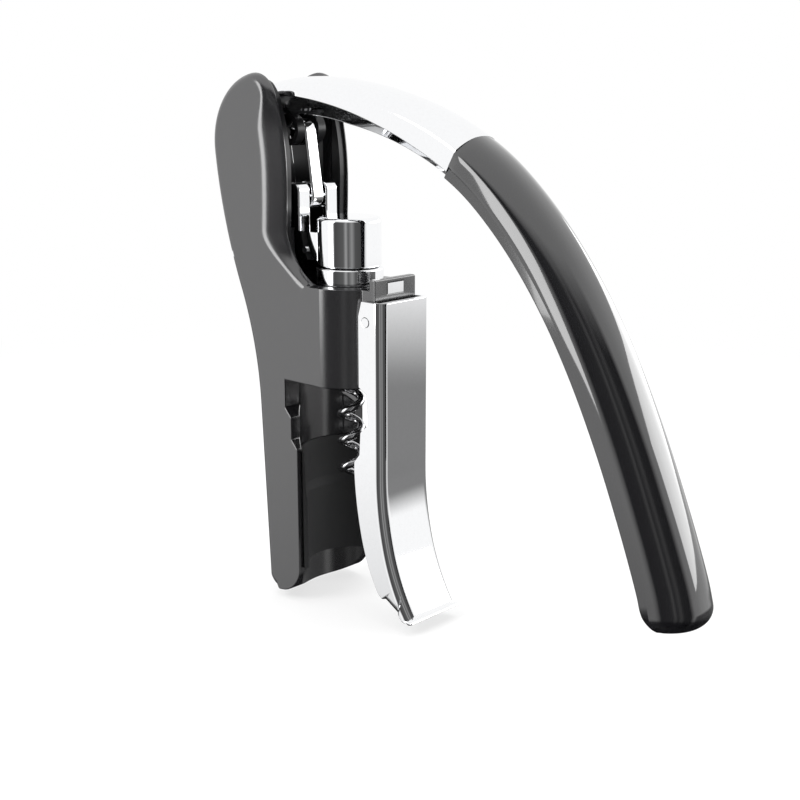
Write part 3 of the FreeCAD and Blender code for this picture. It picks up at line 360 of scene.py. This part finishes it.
def spread_edge(block, depth):
    """Turn the rounding of the cheeks' front edges into a shallow slope with a soft start.

    The slope reaches SLOPE_REACH back along the side, bends in over SLOPE_START of it,
    and fades out towards the collar and the crest.
    """
    line = np.array(sorted((z, x) for x, z in trace(SIDE) if x > -21 and 87 < z < 148.5))
    slope = depth / (SLOPE_REACH - SLOPE_START / 2)
    bend = slope * SLOPE_START / 2
    for vertex in block.data.vertices:
        x, y, z = vertex.co / MM
        inside = np.interp(z, line[:, 0], line[:, 1]) - x
        share = min((z - SLOPE_LOW) / SLOPE_LOW_FADE, (SLOPE_HIGH - z) / SLOPE_HIGH_FADE)
        share = min(max(share, 0.0), 1.0)
        share = share * share * (3 - 2 * share)
        drop = max(HALF_WIDTH - abs(y), 0.0)
        if share > 0 and -1.5 < inside < 6 and drop < depth + 0.01:
            if drop < bend:
                run = math.sqrt(2 * SLOPE_START * drop / slope)
            else:
                run = SLOPE_START + (drop - bend) / slope
            vertex.co.x -= max(SLOPE_REACH - run - inside, 0.0) * share * MM
    block.data.update()


def body_casting():
    block = prism("body_casting", trace(SIDE), -HALF_WIDTH, HALF_WIDTH)

    def long_edge(a, b, turn):
        flat = abs(a.y - b.y) < 0.01 and turn > 60
        return flat and all((p.x < -19 and p.z < 40) or p.x < -24 or p.z > COLLAR_TOP + 0.3
                            for p in (a, b))

    soften(block, long_edge, EDGE_ROUND, 8)
    spread_edge(block, EDGE_ROUND)

    beyond = HALF_WIDTH + 1
    start = math.atan2(HALF_WIDTH, 3.24)
    plan = [(-60.0, -beyond), (COLLAR_FRONT, -beyond), (COLLAR_FRONT, -HALF_WIDTH)]
    plan += [(COLLAR_RADIUS * math.cos(t), COLLAR_RADIUS * math.sin(t))
             for t in np.linspace(-start, start, 48)]
    plan += [(COLLAR_FRONT, HALF_WIDTH), (COLLAR_FRONT, beyond), (-60.0, beyond)]
    carve(block, prism("plan", plan, -40, 170, "Z"), "INTERSECT")

    channel = [(9, COLLAR_TOP), (-32.6, COLLAR_TOP), (-42.1, 108), (-44.1, 120), (-53, 120),
               (-53, 157), (9, 157)]
    carve(block, prism("channel", channel, -CHANNEL_HALF, CHANNEL_HALF))

    x, z = JAW_HINGE
    boss = [(10, 65)] + [(x + BOSS_RADIUS * math.cos(t), z + BOSS_RADIUS * math.sin(t))
                         for t in np.linspace(-math.pi / 2, 0.99, 20)]
    boss += [(20.3, 88.5), (17.7, 88.5), (17.7, COLLAR_TOP), (10, COLLAR_TOP)]
    carve(block, prism("boss", boss, -BOSS_HALF, BOSS_HALF), "UNION")

    for radius, low, high in BORES:
        carve(block, prism("bore", ring_of(radius), low, high, "Z"))
    seat = [(19.5, 83.7), (21.5, 83.7), (21.5, 87.1), (19.5, 87.1)]
    carve(block, prism("seat", seat, -3.6, 3.6))

    def crisp(a, b, turn):
        outside = max(abs(a.y), abs(b.y)) > 9.0 or min(a.x, b.x) > 9.0
        return turn > 40 and outside and (a - b).length > 0.15

    soften(block, crisp, 0.45, 2)
    finish_piece(block, "frame", ["body_shell"], SATIN, 30)


body_casting()

# --- Lever --------------------------------------------------------------------------------------

CROWN = [
    (-40.0, 144.6), (-33.0, 147.6), (-22.0, 149.5), (-8.0, 149.9), (8.0, 148.4), (24.0, 145.2),
    (40.0, 140.2), (55.0, 133.2), (68.0, 124.3), (82.0, 110.9), (95.0, 94.7), (106.5, 76.4),
    (117.0, 55.8), (126.0, 35.0), (132.6, 18.0), (135.0, 10.2), (136.5, 4.4),
]
PER_SPAN = 12
SEAM = 7 * PER_SPAN

NECK_WIDTH, NECK_SWELL = 19.0, 0.8
NECK_DEPTH, NECK_DEEPENING = 9.6, 3.6
NECK_SIDE = ((0, 12, 24, 36, 48, 60, 72, 84), (5.4, 5.4, 5.6, 6.8, 8.2, 9.6, 10.8, 11.4))
NECK_INSET = ((0, 12, 24, 36, 48, 60, 72, 84), (4.4, 4.4, 4.8, 5.0, 4.4, 3.2, 2.2, 1.6))

GRIP_WIDTH, GRIP_OVERHANG = 20.0, 1.0
GRIP_DEPTH = 13.8
GRIP_GROWTH = 0.12
BELLY_HEIGHT = 4.4
SHELL_GAP = 3.6
FACETED_SHARE = 0.45


def resampled(points, count=64):
    """The same closed outline as count points at even steps along it."""
    p = np.array(points + points[:1])
    run = np.concatenate([[0], np.cumsum(np.linalg.norm(np.diff(p, axis=0), axis=1))])
    steps = np.linspace(0, run[-1], count, endpoint=False)
    return np.stack([np.interp(steps, run, p[:, k]) for k in (0, 1)], axis=1)


def domed(half, depth, power=2.5, parts=61):
    """A D-shaped outline: a superellipse over a flat base, from its left end over the top."""
    points = [(-half, depth)]
    for turn in np.linspace(math.pi, 0, parts):
        c, s = math.cos(turn), math.sin(turn)
        points.append((half * math.copysign(abs(c) ** (2 / power), c),
                       depth * 0.98 * (1 - abs(s) ** (2 / power))))
    return points + [(half, depth)]


def lever_rings(places, slopes, outline):
    """Rings of outline(index) points (across, drop) set square to the crown line."""
    rings = []
    for i, (place, slope) in enumerate(zip(places, slopes)):
        t = slope / np.linalg.norm(slope)
        down = np.array((t[1], -t[0]))
        rings.append([(place[0] + down[0] * drop, across, place[1] + down[1] * drop)
                      for across, drop in outline(i)])
    return rings


def crown_outline(width, depth, crown, edge, base_edge, side=None, inset=0.0):
    """Across and drop of one section: a flat-topped crown, straight sides and a belly.

    Below side, if it is given, the sides slope in by inset to the belly. Edge and base_edge
    are the radii of the upper and the lower corners.
    """
    half = width / 2
    if side is None:
        left = [(-half, depth, base_edge), (-half, crown, edge)]
    else:
        left = [(-half + inset, depth, base_edge), (-half, side, 0.8), (-half, crown, edge)]
    top = [(half * u, crown * abs(u) ** 2.3, 0) for u in np.linspace(-0.85, 0.85, 15)]
    right = [(-across, drop, radius) for across, drop, radius in reversed(left)]
    outline = left + top + right
    return rounded([corner[:2] for corner in outline], [corner[2] for corner in outline])


def lever_neck(places, slopes):
    def outline(i):
        width = NECK_WIDTH + NECK_SWELL * min(i / 30, 1.0)
        depth = NECK_DEPTH + NECK_DEEPENING * min(i / 48, 1.0)
        return crown_outline(width, depth, 4.4, 1.6, 1.0, np.interp(i, *NECK_SIDE),
                             np.interp(i, *NECK_INSET))

    neck = skin("lever_neck", lever_rings(places[: SEAM + 1], slopes[: SEAM + 1], outline))
    finish_piece(neck, "lever", ["lever_arm"], CHROME)


def grip(places, slopes):
    """The cover's shell and the belly below it, from the seam to the rounded tip."""
    span = len(places) - 1 - SEAM
    run = np.concatenate([[0], np.cumsum(np.linalg.norm(np.diff(places, axis=0), axis=1))])

    def depth_at(i):
        return GRIP_DEPTH * (1 + GRIP_GROWTH * i / span)

    def closing(i, reach):
        """Shrink of the section over the last stretch of the tip, a quarter circle."""
        left = (run[-1] - run[i + SEAM]) / reach
        return 1.0 if left >= 1 else math.sqrt(max(1 - (1 - left) ** 2, 0.0))

    def shell_outline(i):
        """Faceted at the seam, like the neck, and round further down."""
        depth = depth_at(i) - SHELL_GAP
        half = (GRIP_WIDTH + GRIP_OVERHANG * min(i / 2.0, 1.0)) / 2
        share = min(i / (FACETED_SHARE * span), 1.0)
        share = share * share * (3 - 2 * share)
        faceted = resampled(crown_outline(2 * half, depth, 5.0, 1.4, 0.4))
        points = faceted * (1 - share) + resampled(domed(half, depth)) * share
        middle = np.array((0.0, depth * 0.62))
        shrink = 0.42 + 0.58 * closing(i, 5.5)
        return [tuple(middle + (point - middle) * shrink) for point in points]

    def belly_outline(i):
        shrink = closing(i, 9.0)
        depth = depth_at(i)
        top = depth - BELLY_HEIGHT
        half = (GRIP_WIDTH / 2 - 0.5) * (0.55 + 0.45 * shrink)
        low = top + (depth - top) * (0.15 + 0.85 * shrink)
        return rounded([(-half, top), (-half, low), (half, low), (half, top)], [0, 0.6, 0.6, 0])

    shell = skin("grip_shell", lever_rings(places[SEAM:], slopes[SEAM:], shell_outline))
    finish_piece(shell, "lever", ["grip_cover"], GLOSS)
    belly = skin("grip_belly", lever_rings(places[SEAM:], slopes[SEAM:], belly_outline))
    finish_piece(belly, "lever", ["grip_insert"], GLOSS)


def fork_and_hub():
    """The fork whose slots hold the link's upper pin, and the hub on the pivot pin."""
    tilt = math.radians(142)
    dx, dz = 2.8 * math.cos(tilt), 2.8 * math.sin(tilt)
    px, pz = PIVOT
    cx, cz = FORK_SLOT
    ends = (cx - dx, cz - dz, cx + dx, cz + dz)
    lug = prism("fork_lugs", capsule(*ends, 5.2), -6.2, 6.2)
    web = [(px, 134), (cx, 134), (cx, 146), (px, 146)]
    carve(lug, prism("web", web, -6.2, 6.2), "UNION")
    gap = [(-33.6, 120), (-7, 120), (-7, 139), (-33.6, 139)]
    carve(lug, prism("gap", gap, -3.0, 3.0))
    carve(lug, prism("slot", capsule(*ends, 3.6), -9, 9))
    finish_piece(lug, "lever", [], FRAME)
    hub = prism("lever_hub", ring_of(6.3, 96, px, pz), -10.3, 10.3)
    carve(hub, prism("bore", ring_of(2.55, 96, px, pz), -12, 12))
    finish_piece(hub, "lever", [], CHROME)


crown_line = smooth_line(CROWN, PER_SPAN)
lever_neck(*crown_line)
grip(*crown_line)
fork_and_hub()

# --- Front jaw -----------------------------------------------------------------------------------


def front_jaw():
    outer = [
        (36.5, -21.0), (38.1, -20.3, 65.9), (28.0, 1.7, 100), (25.0, 26.0), (25.0, 81.8),
        (16.2, 81.8), (14.8, 77.0), (14.8, 54.0), (18.2, 52.2), (19.0, 42.5), (15.4, 39.2),
        (14.9, 31.8), (12.6, 29.0), (12.5, 26.6, -120), (16.0, 2.4, -60), (22.8, -13.5, -26),
        (33.5, -20.0),
    ]
    inner = [(37.0, -24.0, 110), (25.6, 1.7, 110), (22.6, 26.0), (22.6, 85.0), (0.0, 85.0),
             (0.0, -24.0)]
    jaw = prism("jaw_channel", trace(outer, 0.8), -11.5, 11.5)

    def front_edge(a, b, turn):
        face = min(a.x, b.x) > 24.9 and min(a.z, b.z) > -19.4
        return face and turn > 60 and abs(a.y - b.y) < 0.01

    soften(jaw, front_edge, 3.4, 8)
    carve(jaw, prism("hollow", trace(inner, 0.8), -9.8, 9.8))
    carve(jaw, prism("bore", ring_of(1.55, 48, *JAW_HINGE), -14, 14))

    def crisp(a, b, turn):
        return turn > 40 and (a - b).length > 0.12

    soften(jaw, crisp, 0.3, 2)
    finish_piece(jaw, "jaw", ["front_jaw"], CHROME, 30)


front_jaw()

# --- Cap, ring, clevis, link and worm ------------------------------------------------------------


def cap_and_ring():
    arc = [(8.8 + 1.6 * math.cos(t), 104.7 + 1.6 * math.sin(t))
           for t in np.linspace(math.pi / 2, 0, 9)]
    profile = [(0.0, 104.8), (0.0, 106.3)] + arc
    profile += [(10.4, 91.0), (10.0, 90.6), (8.9, 90.6), (8.9, 104.8)]
    cap = turned("cap_cylinder", profile)
    finish_piece(cap, "carriage", ["worm_cap"], CHROME, 40)
    profile = [
        (8.2, 66.0), (12.0, 66.0), (12.0, 71.0), (11.0, 71.0), (11.0, 89.5), (10.75, 90.0),
        (10.2, 90.3), (6.0, 90.3), (6.0, 87.8), (8.2, 87.8),
    ]
    ring = turned("guide_ring", profile)
    finish_piece(ring, "frame", ["worm_guide_ring"], CHROME, 40)


EAR_BACK, EAR_FRONT, EAR_LOW, EAR_TOP = -23.6, -14.2, 92.2, 116.4
EAR_INNER, EAR_OUTER = 3.6, 8.8


def round_long_edges(block, radius, segments):
    """Round the edges between a prism's flat sides and its outline."""
    soften(block, lambda a, b, turn: turn > 60 and abs(a.y - b.y) < 0.01, radius, segments)


def clevis():
    outline = rounded([(EAR_BACK, EAR_LOW), (EAR_FRONT, EAR_LOW), (EAR_FRONT, EAR_TOP),
                       (EAR_BACK, EAR_TOP)], [0, 0, 2.6, 4.2], 8)
    ears = []
    for low, high in ((-EAR_OUTER, -EAR_INNER), (EAR_INNER, EAR_OUTER)):
        ears.append(prism("ear", outline, low, high))
        round_long_edges(ears[-1], 0.6, 3)
    bridge = [(EAR_BACK, EAR_LOW), (-6.0, EAR_LOW), (-6.0, 101.2), (EAR_BACK, 101.2)]
    bridge = prism("bridge", bridge, -EAR_OUTER, EAR_OUTER)
    body = ears[0]
    carve(body, ears[1], "UNION")
    carve(body, bridge, "UNION")
    carve(body, prism("seat", ring_of(8.9), EAR_LOW, 104.8, "Z"), "UNION")
    carve(body, prism("bore", ring_of(1.42, 48, *LINK_PIN), -12, 12))
    carve(body, prism("bearing", ring_of(6.05), 91, 101.9, "Z"))
    body.name = "clevis"
    finish_piece(body, "carriage", ["carriage"], CHROME, 30)


def link_bar():
    bar = prism("link_bar", capsule(*LINK_PIN, -21.15, 132.5, 4.0), -2.6, 2.6)
    round_long_edges(bar, 0.8, 4)
    finish_piece(bar, "link", ["link"], CHROME)


def worm():
    radius, wire, pitch, tip, top = 3.3, 1.35, 9.5, 16.0, 94.0
    steps = 24
    count = int((top - tip) / pitch * steps)
    rings = []
    slope = pitch / (2 * math.pi)
    for i in range(count + 1):
        turn = 2 * math.pi * i / steps
        out = Vector((math.cos(turn), math.sin(turn), 0))
        here = Vector((radius * math.cos(turn), radius * math.sin(turn), tip + pitch * i / steps))
        along = Vector((-radius * math.sin(turn), radius * math.cos(turn), slope)).normalized()
        side = along.cross(out)
        thick = wire * min(1.0, 0.12 + 0.88 * math.sqrt(i / (steps * 0.45)))
        rings.append([tuple(here + (out * math.cos(a) + side * math.sin(a)) * thick)
                      for a in np.linspace(0, 2 * math.pi, 20, endpoint=False)])
    coil = skin("worm_coil", rings)
    finish_piece(coil, "worm", ["worm"], STEEL, 60)
    profile = [(0.0, 92.3), (5.7, 92.3), (6.0, 92.6), (6.0, 101.3), (0.0, 101.3)]
    hub = turned("worm_hub", profile, 64)
    finish_piece(hub, "worm", [], STEEL)


cap_and_ring()
clevis()
link_bar()
worm()

# --- Finishes of the frame's own nodes ---------------------------------------------------------

FINISHES = {
    "guide_plate_right": FRAME, "guide_plate_left": FRAME, "lever_pivot_pin": STEEL,
    "frame_spacer": STEEL, "pivot_washers": NYLON, "upper_side_pins": CHROME,
    "lower_side_pins": CHROME, "front_catch": CHROME, "jaw_hinge_pin": CHROME,
    "rear_neck_pad": RUBBER, "lip_seat_ring": RUBBER, "worm_nut": NYLON, "nut_retainer": STEEL,
    "link_lower_pin": CHROME, "carriage_cross_pin": CHROME, "guide_shoes": NYLON,
    "worm_retaining_clip": STEEL, "worm_thrust_washer": STEEL, "link_upper_pin": CHROME,
    "grip_screws": STEEL, "jaw_insert": RUBBER,
}
for node, mat in FINISHES.items():
    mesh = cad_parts[node].data
    mesh.materials.clear()
    mesh.materials.append(mat)

# --- Floor, light and camera ----------------------------------------------------------------------


FLOOR_REACH = 30.0
FLOOR_LEVEL = -0.0245


def floor():
    """A pale floor that keeps the object's shadow and fades to plain white far away."""
    mesh = bpy.data.meshes.new("floor")
    corners = [(-FLOOR_REACH, -FLOOR_REACH), (FLOOR_REACH, -FLOOR_REACH),
               (FLOOR_REACH, FLOOR_REACH), (-FLOOR_REACH, FLOOR_REACH)]
    mesh.from_pydata([(x, y, FLOOR_LEVEL) for x, y in corners], [], [(0, 1, 2, 3)])
    obj = new_object("floor", mesh)
    obj.visible_glossy = False
    obj.visible_shadow = False
    mat = bpy.data.materials.new("pale_floor")
    mat.use_nodes = True
    nodes = mat.node_tree.nodes
    links = mat.node_tree.links
    shader = nodes["Principled BSDF"]
    shader.inputs["Base Color"].default_value = (0.85, 0.85, 0.85, 1)
    shader.inputs["Roughness"].default_value = 0.8
    glow = nodes.new("ShaderNodeEmission")
    place = nodes.new("ShaderNodeTexCoord")
    length = nodes.new("ShaderNodeVectorMath")
    length.operation = "LENGTH"
    links.new(place.outputs["Object"], length.inputs[0])
    fade = nodes.new("ShaderNodeMapRange")
    fade.interpolation_type = "SMOOTHSTEP"
    fade.inputs["From Min"].default_value = 0.12
    fade.inputs["From Max"].default_value = 0.5
    fade.inputs["To Min"].default_value = 0.66
    fade.inputs["To Max"].default_value = 1.0
    links.new(length.outputs["Value"], fade.inputs["Value"])
    rays = nodes.new("ShaderNodeLightPath")
    share = nodes.new("ShaderNodeMath")
    share.operation = "MULTIPLY"
    links.new(rays.outputs["Is Camera Ray"], share.inputs[0])
    links.new(fade.outputs["Result"], share.inputs[1])
    mix = nodes.new("ShaderNodeMixShader")
    links.new(share.outputs[0], mix.inputs["Fac"])
    links.new(shader.outputs["BSDF"], mix.inputs[1])
    links.new(glow.outputs["Emission"], mix.inputs[2])
    links.new(mix.outputs["Shader"], nodes["Material Output"].inputs["Surface"])
    mesh.materials.append(mat)


def area(name, place, target, size, power, mirrored=False):
    """A rectangular lamp that points at target; only a mirrored one shows in reflections."""
    light = bpy.data.lights.new(name, "AREA")
    light.shape = "RECTANGLE"
    light.size, light.size_y = size
    light.energy = power
    obj = bpy.data.objects.new(name, light)
    bpy.context.scene.collection.objects.link(obj)
    obj.location = place
    obj.rotation_euler = (Vector(target) - Vector(place)).to_track_quat("-Z", "Y").to_euler()
    obj.visible_glossy = mirrored


def ramp_of(nodes, stops):
    """A grey colour ramp through (position, value) stops."""
    node = nodes.new("ShaderNodeValToRGB")
    elements = node.color_ramp.elements
    for position, value in stops[1:-1]:
        elements.new(position)
    for element, (position, value) in zip(elements, stops):
        element.position = position
        element.color = (value, value, value, 1)
    return node


def surroundings():
    """A plain white backdrop to the camera; to all else a white room, dark on one side and below.

    Directions run in degrees: around from the camera's side, above from the horizon.
    """
    world = bpy.data.worlds.new("room")
    world.use_nodes = True
    bpy.context.scene.world = world
    nodes = world.node_tree.nodes
    links = world.node_tree.links

    def maths(operation, *values):
        node = nodes.new("ShaderNodeMath")
        node.operation = operation
        for socket, value in zip(node.inputs, values):
            if isinstance(value, bpy.types.NodeSocket):
                links.new(value, socket)
            else:
                socket.default_value = value
        return node.outputs[0]

    def graded(value, stops):
        node = ramp_of(nodes, stops)
        links.new(value, node.inputs["Fac"])
        return node.outputs["Color"]

    place = nodes.new("ShaderNodeTexCoord")
    split = nodes.new("ShaderNodeSeparateXYZ")
    links.new(place.outputs["Generated"], split.inputs[0])
    turn = maths("ARCTAN2", split.outputs["Y"], split.outputs["X"])
    turn = maths("MULTIPLY_ADD", turn, 1 / (2 * math.pi), 0.5)
    rise = maths("MULTIPLY_ADD", maths("ARCSINE", split.outputs["Z"]), 1 / math.pi, 0.5)

    def around(*stops):
        return graded(turn, [((degrees + 135) / 360, value) for degrees, value in stops])

    def above(*stops):
        return graded(rise, [((degrees + 90) / 180, value) for degrees, value in stops])

    stripes = around((-135, 1.0), (-68, 1.0), (-61, 0.6), (-55, 0.06), (-22, 0.10), (-13, 0.32),
                     (-5, 0.10), (8, 0.26), (20, 0.08), (46, 0.06), (54, 0.5), (64, 1.0),
                     (225, 1.0))
    dark_side = above((-90, 1.0), (34, 1.0), (54, 0.0), (90, 0.0))
    ground = above((-90, 0.03), (-48, 0.05), (-34, 0.14), (-24, 0.75), (-16, 1.0), (90, 1.0))
    low_right = above((-90, 0.2), (-13, 0.22), (-8, 1.0), (90, 1.0))
    right = around((-135, 1.0), (-118, 0.0), (60, 0.0), (72, 1.0), (225, 1.0))
    side = maths("SUBTRACT", 1.0, maths("MULTIPLY", dark_side, maths("SUBTRACT", 1.0, stripes)))
    corner = maths("SUBTRACT", 1.0, maths("MULTIPLY", right, maths("SUBTRACT", 1.0, low_right)))
    level = maths("MULTIPLY", maths("MULTIPLY", side, corner), ground)
    room = nodes["Background"]
    links.new(level, room.inputs["Strength"])
    room.inputs["Color"].default_value = (1, 1, 1, 1)
    white = nodes.new("ShaderNodeBackground")
    white.inputs["Color"].default_value = (1, 1, 1, 1)
    rays = nodes.new("ShaderNodeLightPath")
    mix = nodes.new("ShaderNodeMixShader")
    links.new(rays.outputs["Is Camera Ray"], mix.inputs["Fac"])
    links.new(room.outputs["Background"], mix.inputs[1])
    links.new(white.outputs["Background"], mix.inputs[2])
    links.new(mix.outputs["Shader"], nodes["World Output"].inputs["Surface"])


def camera():
    """A camera at the photo's angle: a little over the object, between its near side and front."""
    data = bpy.data.cameras.new("camera")
    data.sensor_width = 36.0
    data.lens = 58.5
    data.clip_start = 0.01
    obj = bpy.data.objects.new("camera", data)
    bpy.context.scene.collection.objects.link(obj)
    obj.location = (0.297, -0.297, 0.150)
    yaw = math.radians(45.0 - 2.2247)
    pitch = math.radians(14.0)
    level = math.cos(pitch)
    forward = Vector((-math.sin(yaw) * level, math.cos(yaw) * level, -math.sin(pitch)))
    obj.rotation_euler = forward.to_track_quat("-Z", "Y").to_euler()
    bpy.context.scene.camera = obj


floor()
area("key", (-0.25, -0.75, 0.75), (0, 0, 0.08), (0.5, 0.5), 5.0)
area("top", (0.0, 0.1, 0.95), (0.02, 0, 0.08), (0.9, 0.6), 5.0)
area("window", (0.50, 1.03, 0.27), (0.05, 0, 0.07), (1.45, 0.42), 5.8, True)
area("panel", (-0.425, -0.91, 0.31), (0, 0, 0.08), (0.34, 0.9), 3.4, True)
surroundings()
camera()
bpy.context.scene.view_settings.view_transform = "Standard"
